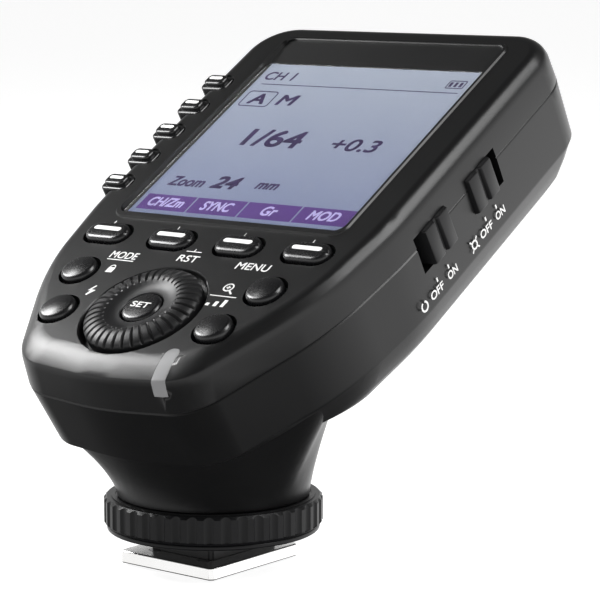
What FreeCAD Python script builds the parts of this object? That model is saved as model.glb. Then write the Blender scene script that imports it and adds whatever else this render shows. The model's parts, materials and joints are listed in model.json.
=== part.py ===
import FreeCAD, Part
import math
import os

# Wireless flash trigger for a camera's hot shoe, in millimetres.
# World frame: +Z up, origin at the centre of the foot's underside, the user stands on the -Y side.
# The head is a slab that leans back over the foot.  Its pieces are made in the head's own frame:
# u runs to the user's right, v runs up the face, w runs out of the face, and w = 0 is the face.

Vector = FreeCAD.Vector

# ---- driving dimensions -------------------------------------------------------------------------
TILT = 31.1                 # angle of the face from horizontal, degrees
FACE_Y = -14.65             # world place of the dial's centre on the face
FACE_Z = 40.37

HALF_WIDTH = 29.9           # head outline
TOP_V = 76.4
NOSE_V = -15.1
NOSE_CORNER = (16.7, -13.5)
HIP = (27.5, 7.4)
SHOULDER_V = 25.0
NOSE_BOW_RADIUS = 60.0
NOSE_CORNER_RADIUS = 8.5
HIP_RADIUS = 42.0
SHOULDER_RADIUS = 60.0
TOP_CORNER_RADIUS = 8.0
TOP_SLOPE = 1.9             # how much more the back's edge is drawn in at the top end

PARTING_W = -6.8            # joint between the front and the rear shell
BAND_W = -16.9              # lower edge of the straight side wall
BACK_W = -24.8              # flat underside of the head
RAMP_V = 20.0               # below this the underside rises towards the nose
RAMP_SLOPE = 0.2
WALL = 1.8
WALL_INSIDE = HALF_WIDTH - WALL
GROOVE = 0.22               # half of the shadow line at the parting

# Each row is depth w, how far the outline is drawn in at the sides, and how far at the nose.
FRONT_PROFILE = [(PARTING_W, GROOVE, GROOVE), (PARTING_W + GROOVE, 0.0, 0.0), (-2.6, 0.12, 0.75),
                 (-1.75, 0.36, 0.95), (-1.4, 0.52, 1.15), (-1.05, 0.74, 1.9), (-0.52, 1.24, 3.0),
                 (-0.17, 1.86, 4.2), (0.0, 2.70, 5.4)]
REAR_PROFILE = [(PARTING_W, GROOVE, GROOVE), (PARTING_W - GROOVE, 0.0, 0.0), (BAND_W, 0.35, 0.5),
                (-17.6, 0.65, 1.3), (-19.4, 1.45, 3.9), (-21.7, 2.7, 6.8), (-23.4, 4.3, 9.0),
                (-24.4, 6.2, 10.8), (BACK_W, 8.4, 12.5)]

SCREEN_HALF_U = 22.3        # display recess
SCREEN_V = (21.7, 71.6)
GLASS_TOP_V = 65.3
GLASS_W = (-0.98, -0.58)
PANEL_HALF_U = 21.5
PANEL_V = (23.3, 65.2)

FLANGE_W = (-3.0, -2.0)
STEM_W = -4.5
FUNCTION_U = (-19.8, -6.65, 6.65, 19.8)
FUNCTION_V = 16.3
FUNCTION_SIZE = (8.2, 4.3)
ROUND_RADIUS = 2.95
MODE_AT = (-18.4, 7.0)
TEST_AT = (-15.4, -2.2)
MENU_AT = (18.4, 7.0)
ZOOM_AT = (15.4, -2.2)
MOAT = 0.55                 # gap round a button at the face

DIAL_RADIUS = 9.3
DIAL_WELL_RADIUS = 9.9
DIAL_TEETH = 36
SET_RADIUS = 3.2

GROUP_V = [29.3 + 7.15 * step for step in range(5)]
GROUP_U = (-30.8, -25.4)
GROUP_HALF_V = 1.9

POWER_SLOT_V = (27.6, 36.4)
ASSIST_SLOT_V = (42.5, 51.3)
SLOT_W = (-11.2, -4.9)
SLIDER_LENGTH = 6.5

LAMP_U = (10.9, 13.3)
LAMP_V = -7.2
LAMP_W = -3.9
LAMP_END_RADIUS = 1.1

PORT_V = (28.5, 46.5)
PORT_W = (-15.2, -8.6)
JACK_AT = (42.6, -11.8)
USB_AT = (34.0, -11.8)
JACK_BORE_RADIUS = 1.27
JACK_DEPTH = 10.0
COVER_HINGE = (-HALF_WIDTH + 0.65, PORT_W[0] + 0.65)  # u and w of the port cover's hinge axis

DOOR_HALF_U = 17.0
DOOR_V = (21.6, 59.6)
DOOR_THICKNESS = 1.4
HINGE_AT = (61.0, -23.7)    # v and w of the battery door's hinge axis
CELL_RADIUS = 7.15
CELL_V = (13.0, 63.2)
CELL_W = -14.1
SCREW_PLACES = [(-20.5, 19.0), (20.5, 19.0), (-20.6, 62.0), (20.6, 62.0)]

AXIS_Y = 1.0                # the neck, ring and clamp stand this far in front of the foot's centre
NECK_BASE_Z = 10.35
NECK_RADIUS = 14.7
SHELF_Z = 24.3              # underside of the assist lamp's housing
FOOT_X = 18.6
FOOT_Y = 20.6
FOOT_THICK = 1.95
PEDESTAL = (12.4, 13.4)     # shank between the foot's plate and the clamp
CLAMP_Z = (5.0, 5.75)
RING_Z = (5.8, 10.15)
RING_RADIUS = 16.75
RING_RIBS = 42
HUB_RADIUS = 9.6
PIN_AT = (0.0, 7.4)
PIN_RADIUS = 1.1
SHOE_SCREWS = [(-5.0, -6.9), (5.0, -6.9), (-5.0, 7.4), (5.0, 7.4)]
CONTACTS = [(0.0, 0.0), (-4.5, 2.6), (4.5, 2.6), (-4.5, -2.6), (4.5, -2.6)]

HEAD = FreeCAD.Placement(Vector(0, FACE_Y, FACE_Z), FreeCAD.Rotation(Vector(1, 0, 0), TILT))
UP = Vector(0, 0, 1)


# ---- helpers --------------------------------------------------------------------------------------
def box(x_span, y_span, z_span):
    """Box from three (low, high) pairs."""
    low = Vector(x_span[0], y_span[0], z_span[0])
    return Part.makeBox(x_span[1] - x_span[0], y_span[1] - y_span[0], z_span[1] - z_span[0], low)


def cylinder(radius, x, y, z_span):
    return Part.makeCylinder(radius, z_span[1] - z_span[0], Vector(x, y, z_span[0]), UP)


def cylinder_along(radius, start, end):
    start = Vector(*start)
    end = Vector(*end)
    return Part.makeCylinder(radius, (end - start).Length, start, end - start)


def tube(outer, inner, x, y, z_span):
    return cylinder(outer, x, y, z_span).cut(cylinder(inner, x, y, z_span))


def rounded_loop(corners, radii, z):
    """Closed wire through the corners, each one rounded by its own radius."""
    count = len(corners)
    points = [Vector(x, y, z) for x, y in corners]
    starts = []
    ends = []
    middles = []
    for index in range(count):
        here = points[index]
        to_last = (points[index - 1] - here).normalize()
        to_next = (points[(index + 1) % count] - here).normalize()
        half_angle = to_last.getAngle(to_next) / 2
        reach = radii[index] / math.tan(half_angle)
        centre = here + (to_last + to_next).normalize() * (radii[index] / math.sin(half_angle))
        starts.append(here + to_last * reach)
        ends.append(here + to_next * reach)
        middles.append(centre + (here - centre).normalize() * radii[index])
    edges = []
    for index in range(count):
        edges.append(Part.Arc(starts[index], middles[index], ends[index]).toShape())
        following = starts[(index + 1) % count]
        edges.append(Part.LineSegment(ends[index], following).toShape())
    return Part.Wire(edges)


def slab(wire, height):
    return Part.Face(wire).extrude(Vector(0, 0, height))


def rounded_box(x_span, y_span, z_span, radius):
    corners = [(x_span[0], y_span[0]), (x_span[1], y_span[0]), (x_span[1], y_span[1]), (x_span[0], y_span[1])]
    return slab(rounded_loop(corners, [radius] * 4, z_span[0]), z_span[1] - z_span[0])


def pill(u, v, length, width, w_span):
    half = width / 2 - 0.01
    return rounded_box((u - length / 2, u + length / 2), (v - width / 2, v + width / 2), w_span, half)


def outline(w, side_inset, nose_inset, top_inset):
    """The head's plan outline at depth w."""
    width = HALF_WIDTH - side_inset
    hip_u = HIP[0] - side_inset
    corner = (NOSE_CORNER[0] - 0.6 * side_inset - 0.25 * nose_inset, NOSE_CORNER[1] + nose_inset)
    right = [corner, (hip_u, HIP[1]), (width, SHOULDER_V), (width, TOP_V - top_inset)]
    hip_radius = HIP_RADIUS - 5.0 * max(nose_inset - side_inset, 0)
    radii = [NOSE_CORNER_RADIUS, hip_radius, SHOULDER_RADIUS, max(TOP_CORNER_RADIUS - side_inset, 1.0)]
    left = [(-u, v) for u, v in reversed(right)]
    corners = [(0, NOSE_V + nose_inset)] + right + left
    bow = NOSE_BOW_RADIUS - 3.5 * nose_inset
    return rounded_loop(corners, [bow] + radii + radii[::-1], w)


def stack(profile, grow=0.0):
    """Solid through the outline at each depth of a profile; the back slopes in more at the top end."""
    wires = []
    for depth, side, nose in profile:
        top = side * TOP_SLOPE if depth < BAND_W - 0.6 else side
        wires.append(outline(depth, side - grow, nose - grow, top - grow))
    return Part.makeLoft(wires, True, True)


def nose_ramp(lift):
    """Block under the slope by which the back rises towards the nose."""
    start = BACK_W + lift
    end = start + RAMP_SLOPE * (RAMP_V + 30)
    corners = [(RAMP_V, start), (-30, end), (-30, -40), (RAMP_V, -40), (RAMP_V, start)]
    side = Part.makePolygon([Vector(-40, v, w) for v, w in corners])
    return Part.Face(side).extrude(Vector(80, 0, 0))


def check(name, shape):
    if not shape.isValid():
        print("not valid:", name)
    for solid in shape.Solids:
        if not solid.isClosed() or solid.Volume < 0.01:
            print("open or tiny solid:", name, solid.Volume)


def save(name, shape):
    """Write one piece that is already in the world frame."""
    if len(shape.Solids) == 1:
        shape = shape.Solids[0]
    else:
        shape = Part.makeCompound(shape.Solids)
    check(name, shape)
    shape.exportStep("parts/" + name + ".step")


def in_world(shape):
    """Copy of a shape made in the head's frame, placed in the world frame."""
    placed = shape.copy()
    placed.Placement = HEAD.multiply(placed.Placement)
    return placed


def save_head(name, shape):
    """Write one piece made in the head's frame."""
    save(name, in_world(shape))


# ---- head shells ----------------------------------------------------------------------------------
def function_moat(u, w_span):
    length = FUNCTION_SIZE[0] + 2 * MOAT
    width = FUNCTION_SIZE[1] + 2 * MOAT
    return pill(u, FUNCTION_V, length, width, w_span)


def switch_slot(slot_v):
    return box((WALL_INSIDE - 2, HALF_WIDTH + 2), slot_v, SLOT_W)


def group_slot(v):
    half = GROUP_HALF_V + 0.35
    return pill(-28.6, v, 7.4, 2 * half, (-3.9, 1.0))


def lamp_region():
    return rounded_box(LAMP_U, (NOSE_V - 6, LAMP_V), (LAMP_W, 1.0), LAMP_END_RADIUS)


def lamp_core():
    return stack([(PARTING_W, 1.2, 1.2), (-2.0, 1.5, 2.7)])


def make_brow():
    """Wedge that keeps the recess sloping up from the top of the glass."""
    top = SCREEN_V[1] + 1
    floor = GLASS_W[0] - 1
    corners = [(GLASS_TOP_V, floor), (GLASS_TOP_V, GLASS_W[0]), (top, -0.05), (top, floor)]
    corners.append(corners[0])
    side = Part.makePolygon([Vector(-30, v, w) for v, w in corners])
    return Part.Face(side).extrude(Vector(60, 0, 0))


def make_front_shell(front_solid):
    shell = front_solid
    lip_u = (-SCREEN_HALF_U - 0.7, SCREEN_HALF_U + 0.7)
    lip = rounded_box(lip_u, (SCREEN_V[0] - 1.1, SCREEN_V[1] + 0.6), (-0.5, 0.28), 2.6)
    lip = lip.makeChamfer(0.24, [edge for edge in lip.Edges if edge.BoundBox.ZMin > 0.27])
    shell = shell.fuse(lip)
    cavity = stack([(PARTING_W - 1, WALL + 0.2, WALL + 0.2), (-WALL, WALL + 0.5, WALL + 1.6)])
    boss = cylinder(DIAL_WELL_RADIUS + 1.3, 0, 0, (-3.2, -WALL))
    shell = shell.cut(cavity.cut(boss))
    glass_seat = box((-SCREEN_HALF_U, SCREEN_HALF_U), (SCREEN_V[0] + 2, GLASS_TOP_V), (GLASS_W[0], 1))
    recess = rounded_box((-SCREEN_HALF_U, SCREEN_HALF_U), SCREEN_V, (GLASS_W[0], 1.0), 1.9)
    shell = shell.cut(glass_seat).cut(recess.cut(make_brow()))
    panel_u = (-PANEL_HALF_U - 0.1, PANEL_HALF_U + 0.1)
    shell = shell.cut(box(panel_u, (PANEL_V[0] - 0.1, PANEL_V[1] - 0.1), (-3, 0)))
    well = cylinder(DIAL_WELL_RADIUS, 0, 0, (-1.7, 1))
    funnel = Part.makeCone(DIAL_WELL_RADIUS, DIAL_WELL_RADIUS + 0.5, 0.5, Vector(0, 0, -0.45), UP)
    shell = shell.cut(well).cut(funnel).cut(cylinder(5.0, 0, 0, (-4, 0)))
    for u in FUNCTION_U:
        shell = shell.cut(function_moat(u, (-3, 1)))
    for u, v in (MODE_AT, TEST_AT, MENU_AT, ZOOM_AT):
        shell = shell.cut(cylinder(ROUND_RADIUS + MOAT, u, v, (-3, 1)))
        shell = shell.cut(cylinder(ROUND_RADIUS + 1.15, u, v, (-4, FLANGE_W[1] + 0.1)))
    for v in GROUP_V:
        shell = shell.cut(group_slot(v))
    for slot_v in (POWER_SLOT_V, ASSIST_SLOT_V):
        shell = shell.cut(switch_slot(slot_v))
    groove = lamp_region().cut(lamp_core())
    return shell.cut(groove)


def make_lamp(front_grown):
    return front_grown.common(lamp_region()).cut(lamp_core())


def make_rear_shell(rear_solid):
    inner = [(PARTING_W + 0.1, WALL, WALL), (BAND_W + 0.5, WALL + 0.3, WALL + 0.6), (-18.8, 3.1, 6.0),
             (-21.0, 4.4, 9.0), (-22.4, 6.0, 11.0), (-23.1, 8.2, 13.0)]
    shell = rear_solid.cut(stack(inner).cut(nose_ramp(1.7)))
    for slot_v in (POWER_SLOT_V, ASSIST_SLOT_V):
        shell = shell.cut(switch_slot(slot_v))
    gap = 0.15
    opening = rounded_box((-DOOR_HALF_U - gap, DOOR_HALF_U + gap), (DOOR_V[0] - gap, HINGE_AT[0] + 1.6),
                          (BACK_W - 1, -22.2), 1.2)
    shell = shell.cut(opening)
    for side in (-1, 1):
        ear_u = (side * 15.6 - 1.3, side * 15.6 + 1.3)
        shell = shell.fuse(box(ear_u, (HINGE_AT[0] - 0.9, HINGE_AT[0] + 1.9), (-24.5, -21.7)))
    shell = shell.cut(hinge_bore(0.5))
    ports = box((-HALF_WIDTH - 1, -HALF_WIDTH + 1.3), PORT_V, PORT_W)
    swing_room = box((-HALF_WIDTH - 1, -HALF_WIDTH + 0.8), PORT_V, (PORT_W[0] - 0.6, PORT_W[0] + 0.1))
    shell = shell.cut(ports).cut(swing_room)
    shell = shell.cut(cylinder_along(2.7, (-HALF_WIDTH - 1, *JACK_AT), (-20, *JACK_AT)))
    shell = shell.cut(usb_block((-HALF_WIDTH - 1, -20), 4.6, 1.75))
    shell = shell.cut(cover_hinge(0.5))
    for u, v in SCREW_PLACES:
        shell = shell.fuse(cylinder(2.4, u, v, (-22.9, PARTING_W - 0.05)))
        shell = shell.cut(cylinder(1.1, u, v, (-26, PARTING_W + 1)))
        shell = shell.cut(cylinder(2.0, u, v, (-26, -21.2)))
    shell = shell.cut(cylinder(5.0, 0, 2.0, (-26, -20)))
    return shell


def usb_block(u_span, half_v, half_w):
    v_span = (USB_AT[0] - half_v, USB_AT[0] + half_v)
    return box(u_span, v_span, (USB_AT[1] - half_w, USB_AT[1] + half_w))


def hinge_bore(radius):
    return cylinder_along(radius, (-17.2, *HINGE_AT), (17.2, *HINGE_AT))


def cover_hinge(radius):
    start = Vector(COVER_HINGE[0], PORT_V[0] - 1.2, COVER_HINGE[1])
    return Part.makeCylinder(radius, PORT_V[1] - PORT_V[0] + 2.4, start, Vector(0, 1, 0))


# ---- face controls --------------------------------------------------------------------------------
def round_button(u, v):
    cap = cylinder(ROUND_RADIUS, u, v, (-2.0, 0.75))
    dome = Part.makeSphere(9.0, Vector(u, v, 1.05 - 9.0))
    cap = cylinder(ROUND_RADIUS, u, v, (-2.0, 1.05)).common(dome.fuse(cap))
    cap = cap.fuse(cylinder(ROUND_RADIUS + 1.0, u, v, FLANGE_W))
    return cap.fuse(cylinder(1.5, u, v, (STEM_W, FLANGE_W[0])))


def function_button(u):
    cap = pill(u, FUNCTION_V, FUNCTION_SIZE[0], FUNCTION_SIZE[1], (-2.0, 0.85))
    rim = [edge for edge in cap.Edges if edge.BoundBox.ZMin > 0.84]
    cap = cap.makeFillet(0.55, rim)
    flange = pill(u, FUNCTION_V, FUNCTION_SIZE[0] + 2.0, FUNCTION_SIZE[1] + 2.0, FLANGE_W)
    stem = cylinder(1.5, u, FUNCTION_V, (STEM_W, FLANGE_W[0]))
    return cap.fuse(flange).fuse(stem)


def group_button(v):
    length = GROUP_U[1] - GROUP_U[0]
    cap = pill((GROUP_U[0] + GROUP_U[1]) / 2, v, length, 2 * GROUP_HALF_V, (-3.4, 0.8))
    rim = [edge for edge in cap.Edges if edge.BoundBox.ZMin > 0.79]
    cap = cap.makeFillet(0.7, rim)
    stem = cylinder(1.1, -26.5, v, (STEM_W, -3.4))
    return cap.fuse(stem)


def tooth_groove(angle):
    """Cutter between two radial teeth of the dial, as a wedge laid on the crown."""
    inner = 6.3
    outer = DIAL_RADIUS + 1
    half_in = 0.22
    half_out = 0.46
    floor = 0.62
    points = [Vector(inner, 0, floor + 0.35), Vector(outer, 0, floor)]
    bottom = Part.makePolygon([Vector(inner, -half_in, 2), Vector(inner, half_in, 2),
                               Vector(inner, 0, points[0].z), Vector(inner, -half_in, 2)])
    top = Part.makePolygon([Vector(outer, -half_out, 2), Vector(outer, half_out, 2),
                            Vector(outer, 0, points[1].z), Vector(outer, -half_out, 2)])
    wedge = Part.makeLoft([bottom, top], True, True)
    wedge.rotate(Vector(0, 0, 0), UP, angle)
    return wedge


def make_dial():
    profile = [(3.45, 0.15), (3.45, -3.9), (4.92, -3.9), (4.92, -1.45), (9.0, -1.45), (DIAL_RADIUS, -1.15),
               (DIAL_RADIUS, 0.85), (8.95, 1.3), (5.85, 1.3)]
    points = [Vector(r, 0, z) for r, z in profile]
    edges = [Part.LineSegment(points[i], points[i + 1]).toShape() for i in range(len(points) - 1)]
    dish = Part.Arc(points[-1], Vector(4.75, 0, 0.42), points[0]).toShape()
    dial = Part.Face(Part.Wire(edges + [dish])).revolve(Vector(0, 0, 0), UP, 360)
    cutters = [tooth_groove(step * 360.0 / DIAL_TEETH) for step in range(DIAL_TEETH)]
    return dial.cut(cutters)


def make_set_button():
    stem = cylinder(SET_RADIUS, 0, 0, (-4.0, 0.9))
    dome = Part.makeSphere(8.0, Vector(0, 0, 0.9 - 8.0)).fuse(cylinder(SET_RADIUS, 0, 0, (-4.0, 0.3)))
    return stem.common(dome).fuse(cylinder(1.4, 0, 0, (STEM_W, -4.0)))


# ---- side controls --------------------------------------------------------------------------------
def make_slider(low_v):
    span = (low_v, low_v + SLIDER_LENGTH)
    middle = (span[0] + span[1]) / 2
    gap = 0.12
    outer = HALF_WIDTH + 0.75
    cap = box((WALL_INSIDE + 0.1, outer), span, (SLOT_W[0] + gap, SLOT_W[1] - gap))
    cap = cap.makeChamfer(0.25, [edge for edge in cap.Edges if edge.BoundBox.XMin > outer - 0.01])
    for step in (-2, -1, 1, 2):
        place = middle + step * 1.12
        cap = cap.cut(box((outer - 0.25, outer + 1), (place - 0.16, place + 0.16), (-20, 0)))
    cap = cap.cut(box((outer - 0.7, outer + 1), (middle - 0.45, middle + 0.45), (-20, 0)))
    stem = box((WALL_INSIDE - 1.6, WALL_INSIDE + 0.1), (middle - 1.0, middle + 1.0), (-9.2, -6.9))
    return cap.fuse(stem)


def make_switch_body(slot_v):
    middle = (slot_v[0] + slot_v[1]) / 2
    return box((22.4, WALL_INSIDE - 1.75), (middle - 4.6, middle + 4.6), (-11.0, -7.0))


# ---- battery bay ----------------------------------------------------------------------------------
def make_battery_door():
    door = rounded_box((-DOOR_HALF_U, DOOR_HALF_U), DOOR_V, (BACK_W, BACK_W + DOOR_THICKNESS), 1.0)
    door = door.makeChamfer(0.2, [edge for edge in door.Edges if edge.BoundBox.ZMax < BACK_W + 0.01])
    for step in range(5):
        v = 48.0 + 1.6 * step
        door = door.cut(box((-9, 9), (v - 0.35, v + 0.35), (BACK_W - 1, BACK_W + 0.35)))
    arm = box((-14.0, 14.0), (DOOR_V[1] - 0.8, HINGE_AT[0]), (HINGE_AT[1] - 0.7, HINGE_AT[1] + 0.5))
    barrel = cylinder_along(0.95, (-14.0, *HINGE_AT), (14.0, *HINGE_AT))
    door = door.fuse(arm).fuse(barrel)
    door = door.cut(hinge_bore(0.5))
    return door.cut(latch_slot())


def latch_slot():
    return box((-5.0, 5.0), (23.2, 29.3), (BACK_W - 1, BACK_W + 0.75))


def make_latch():
    latch = box((-4.9, 4.9), (23.3, 27.6), (BACK_W - 0.35, BACK_W + 0.7))
    latch = latch.makeChamfer(0.2, [edge for edge in latch.Edges if edge.BoundBox.ZMax < BACK_W - 0.34])
    for step in range(4):
        v = 24.3 + 0.85 * step
        latch = latch.cut(box((-3.6, 3.6), (v - 0.2, v + 0.2), (BACK_W - 1, BACK_W - 0.1)))
    return latch


def make_cells():
    cells = []
    for side in (-1, 1):
        u = side * 7.45
        low, high = CELL_V if side > 0 else (CELL_V[0] + 1.1, CELL_V[1])
        can = cylinder_along(CELL_RADIUS, (u, low, CELL_W), (u, high - 1.1, CELL_W))
        tip_at = high - 1.1 if side > 0 else low - 1.1
        tip = cylinder_along(2.7, (u, tip_at, CELL_W), (u, tip_at + 1.1, CELL_W))
        cells.append(can.fuse(tip))
    return Part.makeCompound(cells)


# ---- neck and foot --------------------------------------------------------------------------------
def neck_top(angle, rim):
    """Point of the neck's top section that lies in a given direction from the neck's axis."""

    def off_by(point):
        return abs(math.remainder(math.atan2(point.y - AXIS_Y, point.x) - angle, math.tau))

    return min(rim, key=off_by)


def neck_loft():
    """Column that flares from a round base into the head's underside."""
    top_w = BAND_W - 0.15
    right = [(NOSE_CORNER[0] - 1.5, NOSE_CORNER[1] + 1.3), (26.3, 5.7), (19.5, 21.0)]
    left = [(-u, v) for u, v in reversed(right)]
    corners = [(0, NOSE_V + 1.2)] + right + left
    wire = rounded_loop(corners, [NOSE_BOW_RADIUS, 8.5, 8.0, 10.0, 10.0, 8.0, 8.5], top_w)
    rim = [HEAD.multVec(point) for point in wire.discretize(Number=4000)]
    samples = 36
    steps = 6
    top_points = [neck_top(math.tau * index / samples, rim) for index in range(samples)]
    sections = []
    for step in range(steps + 1):
        share = step / steps
        ring = []
        for point in top_points:
            flat = Vector(point.x, point.y - AXIS_Y, 0)
            length = flat.Length
            way = flat.normalize()
            flare = 1.15 + (0.8 * abs(way.y) ** 3 if way.y < 0 else -0.25 * way.y)
            reach = NECK_RADIUS + (length - NECK_RADIUS) * share ** flare
            height = NECK_BASE_Z + (point.z - NECK_BASE_Z) * share
            ring.append(Vector(way.x * reach, AXIS_Y + way.y * reach, height))
        curve = Part.BSplineCurve()
        curve.interpolate(ring, PeriodicFlag=True)
        sections.append(Part.Wire(curve.toShape()))
    return Part.makeLoft(sections, True, False)


def make_assist_housing():
    """Level shelf across the top of the column, with the lamp's snout at the back."""
    shelf = rounded_box((-20.8, 20.8), (-3.0, 12.4), (SHELF_Z, SHELF_Z + 10), 5.5)
    shelf = shelf.makeFillet(1.6, [edge for edge in shelf.Edges if edge.BoundBox.ZMax < SHELF_Z + 0.1])
    snout = rounded_box((-7.8, 7.8), (4.5, 18.9), (-29.4, -22.0), 2.0)
    snout = snout.makeFillet(1.2, [edge for edge in snout.Edges if edge.BoundBox.ZMax < -29.3])
    return shelf.fuse(in_world(snout))


def make_lock_ring():
    body = cylinder(RING_RADIUS, 0, AXIS_Y, RING_Z)
    body = body.makeChamfer(0.45, [edge for edge in body.Edges if len(edge.Vertexes) == 1])
    pitch = 360.0 / RING_RIBS
    cutters = []
    for index in range(RING_RIBS):
        angle = math.radians(index * pitch)
        reach = RING_RADIUS + 0.62
        cutters.append(cylinder(1.02, reach * math.cos(angle), AXIS_Y + reach * math.sin(angle),
                                (RING_Z[0] + 0.35, RING_Z[1] + 1)))
    body = body.cut(cutters)
    lip = tube(15.6, 15.0, 0, AXIS_Y, (RING_Z[1] - 0.5, RING_Z[1] + 0.12))
    body = body.fuse(lip)
    return body.cut(cylinder(HUB_RADIUS + 0.08, 0, AXIS_Y, (RING_Z[0] - 1, RING_Z[1] + 1)))


def make_foot_base():
    """Shank and round hub that carries the clamp ring."""
    shank_y = (-PEDESTAL[1] / 2, PEDESTAL[1] / 2 + 2.6)
    shank = box((-PEDESTAL[0] / 2, PEDESTAL[0] / 2), shank_y, (FOOT_THICK, 4.4))
    shank = shank.common(cylinder(HUB_RADIUS - 0.1, 0, AXIS_Y, (0, 5)))
    hub = cylinder(HUB_RADIUS, 0, AXIS_Y, (4.4, NECK_BASE_Z))
    base = shank.fuse(hub)
    base = base.cut(cylinder(PIN_RADIUS + 0.05, *PIN_AT, (0, 12)))
    return base.cut(cylinder(3.0, 0, 0, (FOOT_THICK + 0.9, 12)))


def make_shoe_plate():
    plate = box((-FOOT_X / 2, FOOT_X / 2), (-FOOT_Y / 2, FOOT_Y / 2), (0, FOOT_THICK))
    uprights = [edge for edge in plate.Edges if edge.BoundBox.ZLength > 1.9]
    plate = plate.makeChamfer(0.6, uprights)
    rims = [edge for edge in plate.Edges if edge.BoundBox.ZLength < 0.01]
    plate = plate.makeChamfer(0.18, rims)
    plate = plate.cut(rounded_box((-7.2, 7.2), (-4.6, 4.6), (-1, FOOT_THICK - 0.75), 2.5))
    plate = plate.cut(cylinder(PIN_RADIUS + 0.05, *PIN_AT, (-1, 3)))
    for x, y in SHOE_SCREWS:
        plate = plate.cut(cylinder(1.0, x, y, (-1, 3)))
        plate = plate.cut(Part.makeCone(1.9, 1.0, 0.9, Vector(x, y, 0), UP))
    return plate


def main():
    os.makedirs("parts", exist_ok=True)

    front_solid = stack(FRONT_PROFILE)
    rear_solid = stack(REAR_PROFILE).cut(nose_ramp(0.0))
    save_head("front_shell", make_front_shell(front_solid))
    save_head("status_lamp", make_lamp(stack(FRONT_PROFILE, 0.06)))
    rear_shell = make_rear_shell(rear_solid)
    save_head("rear_shell", rear_shell)

    # Display stack
    glass_u = (-SCREEN_HALF_U + 0.05, SCREEN_HALF_U - 0.05)
    glass_v = (SCREEN_V[0] + 0.05, GLASS_TOP_V - 0.05)
    save_head("display_window", rounded_box(glass_u, glass_v, GLASS_W, 1.85))
    panel = box((-PANEL_HALF_U, PANEL_HALF_U), (PANEL_V[0], PANEL_V[1] - 0.2), (-3.4, GLASS_W[0] - 0.02))
    save_head("display_panel", panel)
    light = box((-22.5, 22.5), (22.6, 66.6), (-5.1, -3.45))
    save_head("display_backlight", light)

    # Controls on the face
    for index, u in enumerate(FUNCTION_U):
        save_head("function_button_%d" % (index + 1), function_button(u))
    save_head("mode_button", round_button(*MODE_AT))
    save_head("test_button", round_button(*TEST_AT))
    save_head("menu_button", round_button(*MENU_AT))
    save_head("zoom_button", round_button(*ZOOM_AT))
    for letter, v in zip("edcba", GROUP_V):
        save_head("group_button_" + letter, group_button(v))
    save_head("select_dial", make_dial())
    save_head("dial_clip", tube(6.2, 4.97, 0, 0, (-3.85, -3.3)))
    save_head("set_button", make_set_button())
    save_head("dial_encoder", tube(8.4, 5.3, 0, 0, (-5.1, -4.1)))

    # Key domes and boards
    domes = [Part.makeCone(2.4, 1.6, 0.25, Vector(u, v, -5.2), UP)
             for u, v in (MODE_AT, TEST_AT, MENU_AT, ZOOM_AT, (0, 0))]
    domes += [Part.makeCone(2.4, 1.6, 0.25, Vector(u, FUNCTION_V, -5.2), UP) for u in FUNCTION_U]
    save_head("key_domes", Part.makeCompound(domes))
    board_wire = outline(-6.4, 3.2, 3.2, 3.2)
    board = slab(board_wire, 1.2)
    save_head("main_board", board)
    save_head("radio_module", box((-9, 9), (66.0, 70.6), (-9.0, -6.45)))

    # Side switches, rest: power on, assist lamp off
    save_head("power_switch", make_slider(POWER_SLOT_V[1] - SLIDER_LENGTH - 0.1))
    save_head("assist_switch", make_slider(ASSIST_SLOT_V[0] + 0.1))
    save_head("power_switch_body", make_switch_body(POWER_SLOT_V))
    save_head("assist_switch_body", make_switch_body(ASSIST_SLOT_V))

    # Ports on the left wall
    jack = cylinder_along(2.6, (-HALF_WIDTH + 1.4, *JACK_AT), (-17.0, *JACK_AT))
    bore_end = -HALF_WIDTH + 1.4 + JACK_DEPTH
    jack = jack.cut(cylinder_along(JACK_BORE_RADIUS, (-HALF_WIDTH, *JACK_AT), (bore_end, *JACK_AT)))
    save_head("sync_jack", jack)
    usb = usb_block((-HALF_WIDTH + 1.4, -20.9), 4.47, 1.63)
    usb_hole = usb_block((-HALF_WIDTH, -22.0), 4.1, 1.25)
    tongue = usb_block((-26.6, -21.9), 3.3, 0.35)
    save_head("data_port", usb.cut(usb_hole).fuse(tongue))
    flap = box((-HALF_WIDTH + 0.1, -HALF_WIDTH + 1.2), (PORT_V[0] + 0.12, PORT_V[1] - 0.12),
               (COVER_HINGE[1], PORT_W[1] - 0.12))
    bead = Part.makeCylinder(0.55, PORT_V[1] - PORT_V[0] - 0.24,
                             Vector(COVER_HINGE[0], PORT_V[0] + 0.12, COVER_HINGE[1]), Vector(0, 1, 0))
    tab = box((-HALF_WIDTH - 0.35, -HALF_WIDTH + 0.1), (36.5, 38.5), (-9.9, -8.9))
    cover = flap.fuse(bead).fuse(tab).cut(cover_hinge(0.3))
    save_head("port_cover", cover)
    save_head("cover_pin", cover_hinge(0.28))

    # Battery bay
    save_head("battery_door", make_battery_door())
    save_head("battery_latch", make_latch())
    save_head("door_hinge_pin", hinge_bore(0.46))
    save_head("battery_cells", make_cells())
    plates = [box((u - 4.5, u + 4.5), (v, v + 0.4), (CELL_W - 4.5, CELL_W + 4.5))
              for u in (-7.45, 7.45) for v in (CELL_V[0] - 2.6, CELL_V[1] + 1.0)]
    save_head("battery_contacts", Part.makeCompound(plates))

    # Screws that hold the two shells together
    screws = []
    for u, v in SCREW_PLACES:
        head = cylinder(1.9, u, v, (-22.6, -21.2))
        slot = box((u - 1.3, u + 1.3), (v - 0.22, v + 0.22), (-23, -22.1))
        cross = box((u - 0.22, u + 0.22), (v - 1.3, v + 1.3), (-23, -22.1))
        screws.append(head.cut(slot).cut(cross).fuse(cylinder(1.05, u, v, (-21.2, -7.2))))
    save_head("shell_screws", Part.makeCompound(screws))

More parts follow.
